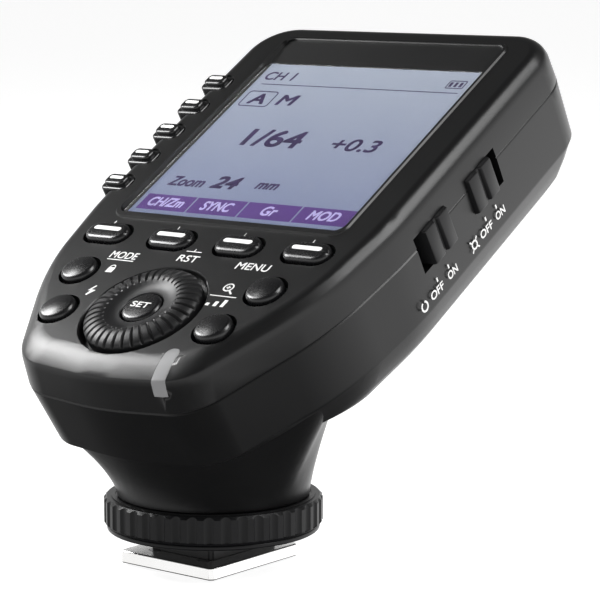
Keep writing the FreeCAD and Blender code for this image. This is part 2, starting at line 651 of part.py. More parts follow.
    # Neck, assist lamp and foot
    head_block = in_world(rear_solid)
    column = neck_loft()
    bay = in_world(box((-5.2, 5.2), (14.9, 18.0), (-28.0, -25.5)))
    wire_hole = cylinder(5.0, 0, AXIS_Y, (5, 40))
    save("neck", column.cut(head_block).cut(wire_hole).cut(bay))
    lens_cut = in_world(box((-5.7, 5.7), (17.9, 23), (-28.2, -25.3)))
    housing = make_assist_housing().cut(head_block).cut(column)
    save("assist_housing", housing.cut(lens_cut).cut(bay))
    lens = box((-5.65, 5.65), (18.0, 18.8), (-28.15, -25.35))
    emitter = cylinder_along(1.2, (0, 15.0, -26.75), (0, 17.4, -26.75))
    save_head("assist_lens", lens)
    save_head("assist_lamp", emitter)

    save("foot_base", make_foot_base())
    save("shoe_plate", make_shoe_plate())
    clamp = cylinder(RING_RADIUS - 0.45, 0, AXIS_Y, CLAMP_Z)
    clamp = clamp.makeChamfer(0.15, [edge for edge in clamp.Edges if len(edge.Vertexes) == 1])
    clamp = clamp.cut(cylinder(HUB_RADIUS + 0.08, 0, AXIS_Y, (4, 7)))
    save("clamp_plate", clamp)
    save("lock_ring", make_lock_ring())
    save("lock_pin", cylinder(PIN_RADIUS, *PIN_AT, (0.1, 8.0)))
    pad = rounded_box((-7.1, 7.1), (-4.5, 4.5), (0.05, FOOT_THICK - 0.8), 2.4)
    contacts = []
    for x, y in CONTACTS:
        radius = 1.75 if (x, y) == (0.0, 0.0) else 1.2
        pad = pad.cut(cylinder(radius + 0.05, x, y, (-1, 3)))
        contacts.append(cylinder(radius, x, y, (0.08, FOOT_THICK - 0.8)))
    save("contact_pad", pad)
    save("shoe_contacts", Part.makeCompound(contacts))
    foot_screws = []
    for x, y in SHOE_SCREWS:
        cone = Part.makeCone(1.75, 0.9, 0.85, Vector(x, y, 0.08), UP)
        shaft = cylinder(0.95, x, y, (0.9, FOOT_THICK))
        foot_screws.append(cone.fuse(shaft))
    save("shoe_screws", Part.makeCompound(foot_screws))


main()
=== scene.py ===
import json
import math

import bmesh
import bpy
from mathutils import Matrix, Vector


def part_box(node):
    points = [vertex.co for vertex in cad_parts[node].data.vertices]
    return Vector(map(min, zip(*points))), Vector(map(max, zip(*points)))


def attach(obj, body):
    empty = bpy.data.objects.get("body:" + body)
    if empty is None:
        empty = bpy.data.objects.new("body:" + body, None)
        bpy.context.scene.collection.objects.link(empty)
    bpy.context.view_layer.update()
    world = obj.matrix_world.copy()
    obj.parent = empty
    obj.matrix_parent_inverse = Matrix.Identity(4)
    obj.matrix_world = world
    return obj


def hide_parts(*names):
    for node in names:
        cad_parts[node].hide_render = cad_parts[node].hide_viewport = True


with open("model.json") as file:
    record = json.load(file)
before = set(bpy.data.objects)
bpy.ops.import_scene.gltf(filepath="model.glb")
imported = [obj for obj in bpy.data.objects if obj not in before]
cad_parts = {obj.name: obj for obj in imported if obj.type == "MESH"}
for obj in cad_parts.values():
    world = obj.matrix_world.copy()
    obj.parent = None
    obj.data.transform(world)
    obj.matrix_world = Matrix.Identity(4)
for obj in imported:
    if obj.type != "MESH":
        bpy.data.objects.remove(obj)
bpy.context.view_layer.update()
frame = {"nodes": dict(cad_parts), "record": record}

# Lengths are in millimetres unless MM is already in the value. U runs to the head's right, V up its
# length and W out of its face, and HEAD turns that frame into the shared one.
MM = 0.001
LEAN = math.radians(31.1)
HEAD_ORIGIN = Vector((0, -14.65, 40.37)) * MM
HEAD = Matrix.Translation(HEAD_ORIGIN) @ Matrix.Rotation(LEAN, 4, "X")
CAMERA_TURN = math.radians(38.866)
CAMERA_RISE = math.radians(8.329)
CAMERA_REACH = 385.07 * MM
CAMERA_AIM_RIGHT = 13.879 * MM
CAMERA_AIM_UP = 39.685 * MM
CAMERA_LENS = 150.6
CAMERA_SENSOR = 36
FACE_W = 0.0
INK_W = -0.975
LEGEND_THICK = 0.03
WALL_U = 29.9
WALL_LEGEND_LIFT = 0.02
DIAL_RIBS = 36
SET_RADIUS = 3.2
SET_TOP = 0.9
SET_CROWN = 0.14
SET_ROLL = 0.7
KEY_FOOT = -1.9
PAD_SHARP = 50
GRIP_SHARP = 40
DIAL_SHARP = 24
CROWN_SHRINK = (0.85, 0.68, 0.5, 0.32, 0.15, 0.03)
ROUND_KEY_RADIUS = 2.95
ROUND_KEY_TOP = 1.05
ROUND_KEY_CROWN = 0.2
ROUND_KEY_ROLL = 0.75
ROUND_KEYS = {
    "mode_button": (-18.4, 7.0),
    "test_button": (-15.4, -2.2),
    "menu_button": (18.4, 7.0),
    "zoom_button": (15.4, -2.2),
}
FUNCTION_KEY_U = [-19.8, -6.65, 6.65, 19.8]
FUNCTION_KEY_V = 16.3
FUNCTION_KEY_SIZE = (8.2, 4.3)
FUNCTION_KEY_TOP = 0.85
FUNCTION_KEY_CROWN = 0.06
FUNCTION_KEY_ROLL = 0.7
FUNCTION_BAR = (2.7, -0.12, 0.78)
GROUP_KEY_NAMES = ["e", "d", "c", "b", "a"]
GROUP_KEY_FIRST_V = 29.3
GROUP_KEY_PITCH = 7.15
GROUP_FLANGE_HALF = (2.65, 1.9)
GROUP_PAD_HALF = (2.05, 1.3)
GROUP_KEY_U = -28.1
GROUP_TOP = 0.8
GROUP_CROWN = 0.05
GROUP_ROLL = 0.35
GROUP_FOOT = -4.4
FLANGE_TOP = 0.02
GROUP_BAR = (1.35, -0.2, 0.55)
BAR_SINK = 0.1
BAR_RISE = 0.03
BAR_ROUND = 0.36
SLIDER_GROOVE = 0.55
MERGE_WITHIN = 0.002
FLAT_DEGREES = 0.6
SHARP_DEGREES = 32
NECK_SHARP = 14
BROKEN_EDGE = 0.08
FINE_DETAIL = 3
DRIFT_LENGTH = 9
DRIFT_DETAIL = 4
GLOSS_SPREAD = 0.12
COAT_ROUGHNESS = 0.12
RIPPLE_LENGTH = 1.4
RIPPLE_DEPTH = 0.003
PLASTIC_IOR = 1.49
DISPLAY_FOOT_COLOUR = (0.135, 0.160, 0.260, 1)
DISPLAY_HEAD_COLOUR = (0.290, 0.322, 0.385, 1)
DISPLAY_GLOW = 1.0
DISPLAY_ROUGHNESS = 0.5
SPECKLE_LENGTH = 0.3
SPECKLE_STRENGTH = 0.12
SPECKLE_DEPTH = 0.004
FACE_BOLD = 0.04
WALL_BOLD = 0.06
BOLD_LAYER = 0.002
LEGEND_EXTRUDE = 0.01
LAMP_MARK = (39.9, -14.9)
SOFTKEY_V = 26.1
SOFTKEY_HEIGHT = 3.9
SOFTKEY_TEXT_V = 26.2
SOFTKEY_TEXT_HEIGHT = 2.3
SKY_STOPS = [(0.0, 0.01), (0.15, 0.01), (0.22, 0.16), (0.30, 0.55), (0.38, 0.85), (0.46, 0.8), (0.56, 0.7),
             (0.72, 0.10), (1.0, 0.02)]
BRIGHT_SIDE = (0.25, 0.97, 0.0)
SIDE_SPAN = 0.9
SIDE_DIM = 1.3
SIDE_BRIGHT = 1.8
FLOOR_REACH = 9000 * MM
FLOOR_DROP = 0.4 * MM
FLOOR_GREY = 0.40
FLOOR_GLOW = 0.86
# Each lamp: its name, its place, the point it faces, its two sides and its power, in metres and watts.
LAMPS = [
    ("overhead_right", (0.46, 0.14, 0.60), (0, 0.02, 0.05), (0.30, 0.60), 4.5),
    ("front_left", (-0.60, -0.24, 0.66), (0, -0.02, 0.04), (0.42, 0.36), 4.0),
    ("nose_glow", (-0.125, -0.043, 0.125), (-0.006, -0.052, 0.028), (0.07, 0.07), 0.20),
]


# ---------------------------------------------------------------- finishes


def node_material(name):
    """A new node material with its nodes, its links and its one shader."""
    made = bpy.data.materials.new(name)
    made.use_nodes = True
    nodes = made.node_tree.nodes
    shader = nodes["Principled BSDF"]
    return made, nodes, made.node_tree.links, shader


def finish_of(name, colour, roughness, grain, depth, mottle=0.12, metallic=0.0, specular=0.5, coat=0.0,
              stretch=(1, 1, 1)):
    """A moulded or worked surface: fine grain in the bump, slow drift in colour and gloss."""
    made, nodes, links, shader = node_material(name)
    shader.inputs["Metallic"].default_value = metallic
    shader.inputs["Specular IOR Level"].default_value = specular
    shader.inputs["Coat Weight"].default_value = coat
    shader.inputs["Coat Roughness"].default_value = COAT_ROUGHNESS
    where = nodes.new("ShaderNodeTexCoord")
    scaled = nodes.new("ShaderNodeMapping")
    scaled.inputs["Scale"].default_value = stretch
    links.new(where.outputs["Object"], scaled.inputs["Vector"])
    fine = nodes.new("ShaderNodeTexNoise")
    fine.inputs["Scale"].default_value = 1 / (grain * MM)
    fine.inputs["Detail"].default_value = FINE_DETAIL
    links.new(scaled.outputs["Vector"], fine.inputs["Vector"])
    slow = nodes.new("ShaderNodeTexNoise")
    slow.inputs["Scale"].default_value = 1 / (DRIFT_LENGTH * MM)
    slow.inputs["Detail"].default_value = DRIFT_DETAIL
    links.new(scaled.outputs["Vector"], slow.inputs["Vector"])
    bump = nodes.new("ShaderNodeBump")
    bump.inputs["Distance"].default_value = depth * MM
    links.new(fine.outputs["Fac"], bump.inputs["Height"])
    links.new(bump.outputs["Normal"], shader.inputs["Normal"])
    tint = nodes.new("ShaderNodeMix")
    tint.data_type = "RGBA"
    tint.inputs["A"].default_value = (*[c * (1 - mottle) for c in colour], 1)
    tint.inputs["B"].default_value = (*[min(1, c * (1 + mottle)) for c in colour], 1)
    links.new(slow.outputs["Fac"], tint.inputs["Factor"])
    links.new(tint.outputs["Result"], shader.inputs["Base Color"])
    gloss = nodes.new("ShaderNodeMapRange")
    gloss.inputs["To Min"].default_value = roughness * (1 - GLOSS_SPREAD)
    gloss.inputs["To Max"].default_value = roughness * (1 + GLOSS_SPREAD)
    both = nodes.new("ShaderNodeMath")
    both.operation = "MULTIPLY_ADD"
    both.inputs[1].default_value = 0.5
    links.new(fine.outputs["Fac"], both.inputs[0])
    half = nodes.new("ShaderNodeMath")
    half.operation = "MULTIPLY"
    half.inputs[1].default_value = 0.5
    links.new(slow.outputs["Fac"], half.inputs[0])
    links.new(half.outputs["Value"], both.inputs[2])
    links.new(both.outputs["Value"], gloss.inputs["Value"])
    links.new(gloss.outputs["Result"], shader.inputs["Roughness"])
    return made


def display_finish():
    """The lit liquid crystal: paler at the top, with a fine speckle."""
    made, nodes, links, shader = node_material("display_glow")
    where = nodes.new("ShaderNodeTexCoord")
    parts = nodes.new("ShaderNodeSeparateXYZ")
    links.new(where.outputs["Object"], parts.inputs["Vector"])
    ramp = nodes.new("ShaderNodeMapRange")
    low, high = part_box("display_panel")
    ramp.inputs["From Min"].default_value = low.z
    ramp.inputs["From Max"].default_value = high.z
    links.new(parts.outputs["Z"], ramp.inputs["Value"])
    tint = nodes.new("ShaderNodeMix")
    tint.data_type = "RGBA"
    tint.inputs["A"].default_value = DISPLAY_FOOT_COLOUR
    tint.inputs["B"].default_value = DISPLAY_HEAD_COLOUR
    links.new(ramp.outputs["Result"], tint.inputs["Factor"])
    dots = nodes.new("ShaderNodeTexNoise")
    dots.inputs["Scale"].default_value = 1 / (SPECKLE_LENGTH * MM)
    speck = nodes.new("ShaderNodeMix")
    speck.data_type = "RGBA"
    speck.blend_type = "MULTIPLY"
    speck.inputs["Factor"].default_value = SPECKLE_STRENGTH
    links.new(where.outputs["Object"], dots.inputs["Vector"])
    links.new(tint.outputs["Result"], speck.inputs["A"])
    links.new(dots.outputs["Fac"], speck.inputs["B"])
    links.new(speck.outputs["Result"], shader.inputs["Base Color"])
    links.new(speck.outputs["Result"], shader.inputs["Emission Color"])
    shader.inputs["Emission Strength"].default_value = DISPLAY_GLOW
    bump = nodes.new("ShaderNodeBump")
    bump.inputs["Distance"].default_value = SPECKLE_DEPTH * MM
    links.new(dots.outputs["Fac"], bump.inputs["Height"])
    links.new(bump.outputs["Normal"], shader.inputs["Normal"])
    shader.inputs["Roughness"].default_value = DISPLAY_ROUGHNESS
    return made


def glowing(name, colour, strength):
    """Ink on the lit display: it lets a little of the light through."""
    made = finish_of(name, colour, 0.5, 0.3, 0.003)
    shader = made.node_tree.nodes["Principled BSDF"]
    shader.inputs["Emission Color"].default_value = (*colour, 1)
    shader.inputs["Emission Strength"].default_value = strength
    return made


def clear(name, colour, roughness, weight):
    """Clear or frosted plastic with a faint moulded ripple."""
    made = finish_of(name, colour, roughness, RIPPLE_LENGTH, RIPPLE_DEPTH, mottle=0.03)
    shader = made.node_tree.nodes["Principled BSDF"]
    shader.inputs["Transmission Weight"].default_value = weight
    shader.inputs["IOR"].default_value = PLASTIC_IOR
    return made


SLOT_FINISH = {
    "shell_plastic": finish_of("shell_matte", (0.0042, 0.0042, 0.0044), 0.33, 0.13, 0.008, specular=0.44),
    "window_glass": clear("window_clear", (0.97, 0.98, 1.0), 0.03, 1.0),
    "display": display_finish(),
    "backlight": finish_of("backlight_film", (0.75, 0.78, 0.85), 0.5, 0.3, 0.01),
    "button_rubber": finish_of("key_rubber", (0.005, 0.005, 0.0055), 0.27, 0.35, 0.002, coat=0.15),
    "dial_plastic": finish_of("dial_satin", (0.006, 0.006, 0.0065), 0.40, 0.3, 0.003, specular=0.4),
    "lamp_lens": clear("lamp_frosted", (0.24, 0.24, 0.245), 0.45, 0.2),
    "assist_red": clear("assist_dark_red", (0.20, 0.01, 0.015), 0.08, 0.5),
    "board": finish_of("board_green", (0.02, 0.11, 0.05), 0.45, 0.6, 0.01),
    "black_plastic": finish_of("plain_black", (0.007, 0.007, 0.0075), 0.38, 0.22, 0.006, specular=0.35),
    "steel": finish_of("steel_turned", (0.55, 0.55, 0.56), 0.3, 0.2, 0.004, metallic=1.0),
    "plated": finish_of("plated_bright", (0.95, 0.94, 0.92), 0.24, 0.12, 0.005, metallic=1.0,
                        stretch=(1, 0.2, 1)),
    "gold": finish_of("contact_gold", (0.83, 0.62, 0.28), 0.25, 0.15, 0.003, metallic=1.0),
    "cell_jacket": finish_of("cell_wrap", (0.05, 0.16, 0.30), 0.35, 0.5, 0.006),
    "seal_rubber": finish_of("seal_rubber", (0.013, 0.013, 0.014), 0.55, 0.3, 0.010),
    "ring_plastic": finish_of("ring_satin", (0.004, 0.004, 0.0045), 0.36, 0.2, 0.004, specular=0.22),
}
WHITE_INK = finish_of("legend_white", (0.80, 0.80, 0.79), 0.5, 0.12, 0.006, mottle=0.05)
BAR_WHITE = finish_of("bar_white", (0.93, 0.93, 0.92), 0.35, 0.2, 0.004, mottle=0.03)
LCD_INK = glowing("display_ink", (0.050, 0.024, 0.125), 0.12)
LCD_BAR = glowing("display_bar", (0.085, 0.030, 0.20), 0.55)
LCD_PALE = glowing("display_pale_ink", (0.42, 0.38, 0.62), 0.7)

SLOT_OF = {part["node"]: part["material_slot"] for part in frame["record"]["subparts"]}
BODY_OF = {}
for body_name, members in frame["record"]["behaviour"]["bodies"].items():
    for member in members:
        BODY_OF[member] = body_name
for node_name, cad_node in frame["nodes"].items():
    for holder in cad_node.material_slots:
        holder.material = SLOT_FINISH[SLOT_OF[node_name]]


# ---------------------------------------------------------------- pieces


def place(name, mesh, body, finish):
    """Puts a mesh in the scene as a piece that moves with one body."""
    piece = bpy.data.objects.new(name, mesh)
    bpy.context.scene.collection.objects.link(piece)
    mesh.materials.clear()
    mesh.materials.append(finish)
    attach(piece, body)
    return piece


def stand_for(name, mesh, node):
    """Puts a finished mesh in the place of one CAD node."""
    slot = SLOT_OF[node]
    piece = place(name, mesh, BODY_OF[node], SLOT_FINISH[slot])
    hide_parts(node)
    return piece


def smooth(mesh, sharp_degrees=SHARP_DEGREES):
    """Shades a mesh smooth, with edges kept sharp past an angle."""
    mesh.polygons.foreach_set("use_smooth", [True] * len(mesh.polygons))
    mesh.set_sharp_from_angle(angle=math.radians(sharp_degrees))


def refined(node, edge=0.0, sharp_degrees=SHARP_DEGREES):
    """A cleaned copy of a CAD node: corners joined, flats whole, curves smooth, edges broken if asked."""
    work = bmesh.new()
    work.from_mesh(frame["nodes"][node].data)
    bmesh.ops.remove_doubles(work, verts=work.verts, dist=MERGE_WITHIN * MM)
    flat = math.radians(FLAT_DEGREES)
    bmesh.ops.dissolve_limit(work, angle_limit=flat, verts=work.verts, edges=work.edges)
    mesh = bpy.data.meshes.new(node + "_skin")
    work.to_mesh(mesh)
    work.free()
    smooth(mesh, sharp_degrees)
    piece = stand_for(node + "_skin", mesh, node)
    if edge:
        bevel = piece.modifiers.new("broken_edges", "BEVEL")
        bevel.width = edge * MM
        bevel.segments = 2
        bevel.limit_method = "ANGLE"
        bevel.angle_limit = math.radians(sharp_degrees)
    flats = piece.modifiers.new("even_flats", "WEIGHTED_NORMAL")
    flats.mode = "FACE_AREA"
    flats.weight = 100
    flats.keep_sharp = True


def ring_mesh(name, rows, closed_ends=True):
    """A skin through rows of points, each row a closed loop with as many points as the others."""
    work = bmesh.new()
    made = [[work.verts.new(HEAD @ (Vector(point) * MM)) for point in row] for row in rows]
    count = len(rows[0])
    for before, after in zip(made, made[1:]):
        for i in range(count):
            j = (i + 1) % count
            work.faces.new((before[i], before[j], after[j], after[i]))
    if closed_ends:
        work.faces.new(list(reversed(made[0])))
        work.faces.new(made[-1])
    bmesh.ops.recalc_face_normals(work, faces=work.faces)
    mesh = bpy.data.meshes.new(name)
    work.to_mesh(mesh)
    work.free()
    return mesh


def rounded_loop(half_u, half_v, radius, steps=8):
    """Corner-rounded rectangle about (0, 0), counter-clockwise."""
    radius = min(radius, half_u, half_v)
    points = []
    for quarter in range(4):
        sign_u = 1 if quarter in (0, 3) else -1
        sign_v = 1 if quarter in (0, 1) else -1
        for k in range(steps + 1):
            angle = math.radians(90 * quarter + 90 * k / steps)
            u = sign_u * (half_u - radius) + radius * math.cos(angle)
            v = sign_v * (half_v - radius) + radius * math.sin(angle)
            points.append((u, v))
    return points


def crowned(name, centre, half, radius, bottom, top, bulge, roll):
    """A pad with rolled edges and a gently crowned top."""
    rows = []
    for inset, height in [(0, bottom), (0, top - roll), (0.08 * roll, top - 0.62 * roll),
                          (0.29 * roll, top - 0.29 * roll), (0.62 * roll, top - 0.08 * roll), (roll, top)]:
        loop = rounded_loop(half[0] - inset, half[1] - inset, max(radius - inset, 0.05))
        rows.append([(centre[0] + u, centre[1] + v, height) for u, v in loop])
    last = rounded_loop(half[0] - roll, half[1] - roll, max(radius - roll, 0.05))
    for shrink in CROWN_SHRINK:
        height = top + bulge * (1 - shrink * shrink)
        rows.append([(centre[0] + u * shrink, centre[1] + v * shrink, height) for u, v in last])
    mesh = ring_mesh(name, rows)
    smooth(mesh, PAD_SHARP)
    return mesh


def round_pad(name, centre, radius, bottom, top, bulge, roll, steps=64):
    """A round pad with a quarter-circle roll at its edge and a gently crowned top."""
    rows = []
    outline = [(0, bottom), (0, top - roll)]
    for k in range(1, 7):
        turn = math.radians(15 * k)
        outline.append((roll * (1 - math.cos(turn)), top - roll + roll * math.sin(turn)))
    for inset, height in outline:
        rows.append((radius - inset, height))
    inner = radius - roll
    for shrink in CROWN_SHRINK:
        rows.append((inner * shrink, top + bulge * (1 - shrink * shrink)))
    loops = []
    for reach, height in rows:
        loop = []
        for i in range(steps):
            angle = 2 * math.pi * i / steps
            loop.append((centre[0] + reach * math.cos(angle), centre[1] + reach * math.sin(angle), height))
        loops.append(loop)
    mesh = ring_mesh(name, loops)
    smooth(mesh, PAD_SHARP)
    return mesh


def bar(name, centre, shape, top, body):
    """The white bar laid into a key's top: shape is its half width, then its lower and upper edge."""
    low = (centre[0] - shape[0], centre[1] + shape[1], top - BAR_SINK)
    high = (centre[0] + shape[0], centre[1] + shape[2], top + BAR_RISE)
    half = [(b - a) / 2 for a, b in zip(low, high)]
    middle = [(a + b) / 2 for a, b in zip(low, high)]
    loop = rounded_loop(half[0], half[1], BAR_ROUND, 4)
    rows = [[(middle[0] + u, middle[1] + v, low[2]) for u, v in loop],
            [(middle[0] + u, middle[1] + v, high[2]) for u, v in loop]]
    place(name, ring_mesh(name, rows), body, BAR_WHITE)


def side_plane(u):
    """The frame of the right wall: letters run along the head, with their tops towards its face."""
    turn = Matrix(((0, 0, 1, 0), (1, 0, 0, 0), (0, 1, 0, 0), (0, 0, 0, 1)))
    return HEAD @ Matrix.Translation(Vector((u, 0, 0)) * MM) @ turn


def legend(name, words, centre, size, body, finish, frame_matrix=HEAD, height=FACE_W, bold=0.0, lean=0.0):
    """Raised lettering that fills a width and height, centred on a point of its plane.

    Bold letters are four copies shifted to the corners of a small square, and one in the middle.
    """
    curve = bpy.data.curves.new(name, "FONT")
    curve.body = words
    curve.extrude = LEGEND_EXTRUDE
    curve.shear = lean
    draft = bpy.data.objects.new(name + "_draft", curve)
    bpy.context.scene.collection.objects.link(draft)
    bpy.context.view_layer.update()
    letters = bpy.data.meshes.new_from_object(draft.evaluated_get(bpy.context.evaluated_depsgraph_get()))
    bpy.data.objects.remove(draft)
    low = Vector([min(vert.co[i] for vert in letters.vertices) for i in range(3)])
    high = Vector([max(vert.co[i] for vert in letters.vertices) for i in range(3)])
    middle = (low + high) / 2
    grow = ((size[0] - bold) / (high.x - low.x), (size[1] - bold) / (high.y - low.y),
            LEGEND_THICK / (high.z - low.z))
    fit = Matrix.Diagonal((*[g * MM for g in grow], 1)) @ Matrix.Translation(-middle)
    work = bmesh.new()
    shifts = [(0, 0)] if bold == 0 else [(-1, -1), (1, -1), (1, 1), (-1, 1), (0, 0)]
    for layer, (across, upward) in enumerate(shifts):
        copy = letters.copy()
        level = height + BOLD_LAYER * layer
        place_at = (centre[0] + across * bold / 2, centre[1] + upward * bold / 2, level)
        copy.transform(frame_matrix @ Matrix.Translation(Vector(place_at) * MM) @ fit)
        work.from_mesh(copy)
        bpy.data.meshes.remove(copy)
    mesh = bpy.data.meshes.new(name)
    work.to_mesh(mesh)
    work.free()
    bpy.data.meshes.remove(letters)
    place(name, mesh, body, finish)


def stroke(name, points, width, body, finish, frame_matrix=HEAD, height=FACE_W, closed=False):
    """A flat line of even width through points of a plane."""
    count = len(points)
    flat = [Vector(point) for point in points]
    left = []
    right = []
    for i, here in enumerate(flat):
        back = flat[i - 1] if i > 0 or closed else here
        ahead = flat[(i + 1) % count] if i < count - 1 or closed else here
        along = (ahead - back).normalized()
        before = (here - back).normalized() if back != here else along
        across = Vector((-along.y, along.x)) * (width / 2 / max(0.4, along.dot(before)))
        left.append(here + across)
        right.append(here - across)
    work = bmesh.new()
    layers = []
    for level in (height - LEGEND_THICK / 2, height + LEGEND_THICK / 2):
        for side in (left, right):
            layers.append([work.verts.new(frame_matrix @ (Vector((p.x, p.y, level)) * MM)) for p in side])
    low_left, low_right, top_left, top_right = layers
    for i in range(count if closed else count - 1):
        j = (i + 1) % count
        work.faces.new((top_left[i], top_left[j], top_right[j], top_right[i]))
        work.faces.new((low_left[i], low_right[i], low_right[j], low_left[j]))
        work.faces.new((top_left[i], low_left[i], low_left[j], top_left[j]))
        work.faces.new((top_right[i], top_right[j], low_right[j], low_right[i]))
    if not closed:
        for i in (0, count - 1):
            work.faces.new((top_left[i], top_right[i], low_right[i], low_left[i]))
    bmesh.ops.recalc_face_normals(work, faces=work.faces)
    mesh = bpy.data.meshes.new(name)
    work.to_mesh(mesh)
    work.free()
    place(name, mesh, body, finish)


def arc_points(centre, radius, start, end, steps=24):
    """Points along an arc between two angles in degrees."""
    points = []
    for k in range(steps + 1):
        angle = math.radians(start + (end - start) * k / steps)
        points.append((centre[0] + radius * math.cos(angle), centre[1] + radius * math.sin(angle)))
    return points


# ---------------------------------------------------------------- casing

for shell_node in ["front_shell", "rear_shell", "assist_housing"]:
    refined(shell_node)
refined("neck", sharp_degrees=NECK_SHARP)
for plain_node in ["battery_door", "battery_latch", "port_cover", "lock_ring", "clamp_plate", "foot_base",
                   "shoe_plate", "status_lamp", "assist_lens", "sync_jack", "data_port"]:
    refined(plain_node, edge=BROKEN_EDGE)


# ---------------------------------------------------------------- keys

for key_name, centre in ROUND_KEYS.items():
    pad = round_pad(key_name + "_pad", centre, ROUND_KEY_RADIUS, KEY_FOOT, ROUND_KEY_TOP - ROUND_KEY_CROWN,
                    ROUND_KEY_CROWN, ROUND_KEY_ROLL)
    stand_for(key_name + "_pad", pad, key_name)
for index, key_u in enumerate(FUNCTION_KEY_U):
    key_name = f"function_button_{index + 1}"
    half = (FUNCTION_KEY_SIZE[0] / 2, FUNCTION_KEY_SIZE[1] / 2)
    centre = (key_u, FUNCTION_KEY_V)
    pad = crowned(key_name + "_pad", centre, half, half[1], KEY_FOOT, FUNCTION_KEY_TOP - FUNCTION_KEY_CROWN,
                  FUNCTION_KEY_CROWN, FUNCTION_KEY_ROLL)
    stand_for(key_name + "_pad", pad, key_name)
    bar(key_name + "_bar", centre, FUNCTION_BAR, FUNCTION_KEY_TOP, key_name)
for step, group_name in enumerate(GROUP_KEY_NAMES):
    key_name = f"group_button_{group_name}"
    centre = (GROUP_KEY_U, GROUP_KEY_FIRST_V + GROUP_KEY_PITCH * step)
    flange = crowned(key_name + "_flange", centre, GROUP_FLANGE_HALF, 1.0, GROUP_FOOT, FLANGE_TOP, 0.0,
                     GROUP_ROLL)
    stand_for(key_name + "_flange", flange, key_name)
    pad = crowned(key_name + "_pad", centre, GROUP_PAD_HALF, 0.9, 0.0, GROUP_TOP - GROUP_CROWN, GROUP_CROWN,
                  GROUP_ROLL)
    place(key_name + "_pad", pad, key_name, SLOT_FINISH["button_rubber"])
    bar(key_name + "_bar", centre, GROUP_BAR, GROUP_TOP, key_name)


# ---------------------------------------------------------------- switches


def slider_mesh(name, node):
    """A slider's grip: two flat pads with a groove between them and rolled ends."""
    back_to_head = HEAD.inverted()
    points = [back_to_head @ vert.co / MM for vert in frame["nodes"][node].data.vertices]
    low = [min(point[i] for point in points) for i in range(3)]
    high = [max(point[i] for point in points) for i in range(3)]
    middle = (low[1] + high[1]) / 2
    top = high[0]
    profile = [(low[1], low[0]), (low[1], top - 0.35), (low[1] + 0.12, top - 0.1), (low[1] + 0.35, top),
               (middle - 0.75, top), (middle - 0.55, top - 0.08), (middle - 0.3, top - SLIDER_GROOVE),
               (middle + 0.3, top - SLIDER_GROOVE), (middle + 0.55, top - 0.08), (middle + 0.75, top),
               (high[1] - 0.35, top), (high[1] - 0.12, top - 0.1), (high[1], top - 0.35), (high[1], low[0])]
    rows = []
    for inset, w in [(0.3, low[2]), (0.08, low[2] + 0.1), (0, low[2] + 0.3), (0, high[2] - 0.3),
                     (0.08, high[2] - 0.1), (0.3, high[2])]:
        rows.append([(max(low[0], u - inset), v, w) for v, u in profile])
    mesh = ring_mesh(name, rows)
    smooth(mesh, GRIP_SHARP)
    return mesh


for switch_node in ["power_switch", "assist_switch"]:
    stand_for(switch_node + "_grip", slider_mesh(switch_node + "_grip", switch_node), switch_node)


# ---------------------------------------------------------------- dial

# The dial from its outer skirt to its well, as reach and height. RIB_DEPTH is cut into rows of it.
DIAL_OUTLINE = [(9.0, -2.0), (9.3, -1.7), (9.3, -0.3), (9.3, 0.1), (9.24, 0.3), (9.08, 0.5), (8.8, 0.7),
                (8.3, 0.95), (7.7, 1.16), (7.1, 1.28), (6.5, 1.3), (6.1, 1.24), (5.7, 1.08), (5.2, 0.8),
                (4.6, 0.58), (4.0, 0.48), (3.55, 0.46), (3.42, 0.3), (3.42, -1.4)]
RIB_DEPTH = {3: 0.15, 4: 0.36, 5: 0.42, 6: 0.44, 7: 0.45, 8: 0.45, 9: 0.43, 10: 0.36, 11: 0.2}
RIB_SHAPE = [0] * 8 + [0.6, 1, 1, 0.6]


def dial_mesh():
    """The wheel, with even grooves cut round its shoulder."""
    count = DIAL_RIBS * len(RIB_SHAPE)
    rows = []
    for index, (reach, height) in enumerate(DIAL_OUTLINE):
        depth = RIB_DEPTH.get(index, 0.0)
        loop = []
        for i in range(count):
            angle = 2 * math.pi * i / count
            dip = RIB_SHAPE[i % len(RIB_SHAPE)]
            loop.append((reach * math.cos(angle), reach * math.sin(angle), height - depth * dip))
        rows.append(loop)
    mesh = ring_mesh("select_dial_wheel", rows, closed_ends=False)
    smooth(mesh, DIAL_SHARP)
    return mesh


stand_for("select_dial_wheel", dial_mesh(), "select_dial")
set_pad = round_pad("set_button_pad", (0, 0), SET_RADIUS, KEY_FOOT, SET_TOP - SET_CROWN, SET_CROWN, SET_ROLL)
stand_for("set_button_pad", set_pad, "set_button")
legend("set_letters", "SET", (0, 0.05), (3.5, 1.25), "set_button", WHITE_INK,
       height=SET_TOP + 0.01, bold=0.05)


# ---------------------------------------------------------------- face legends


def printed_word(name, words, centre, size):
    legend(name, words, centre, size, "body", WHITE_INK, bold=FACE_BOLD)


def printed_line(name, points, width):
    stroke(name, points, width, "body", WHITE_INK)


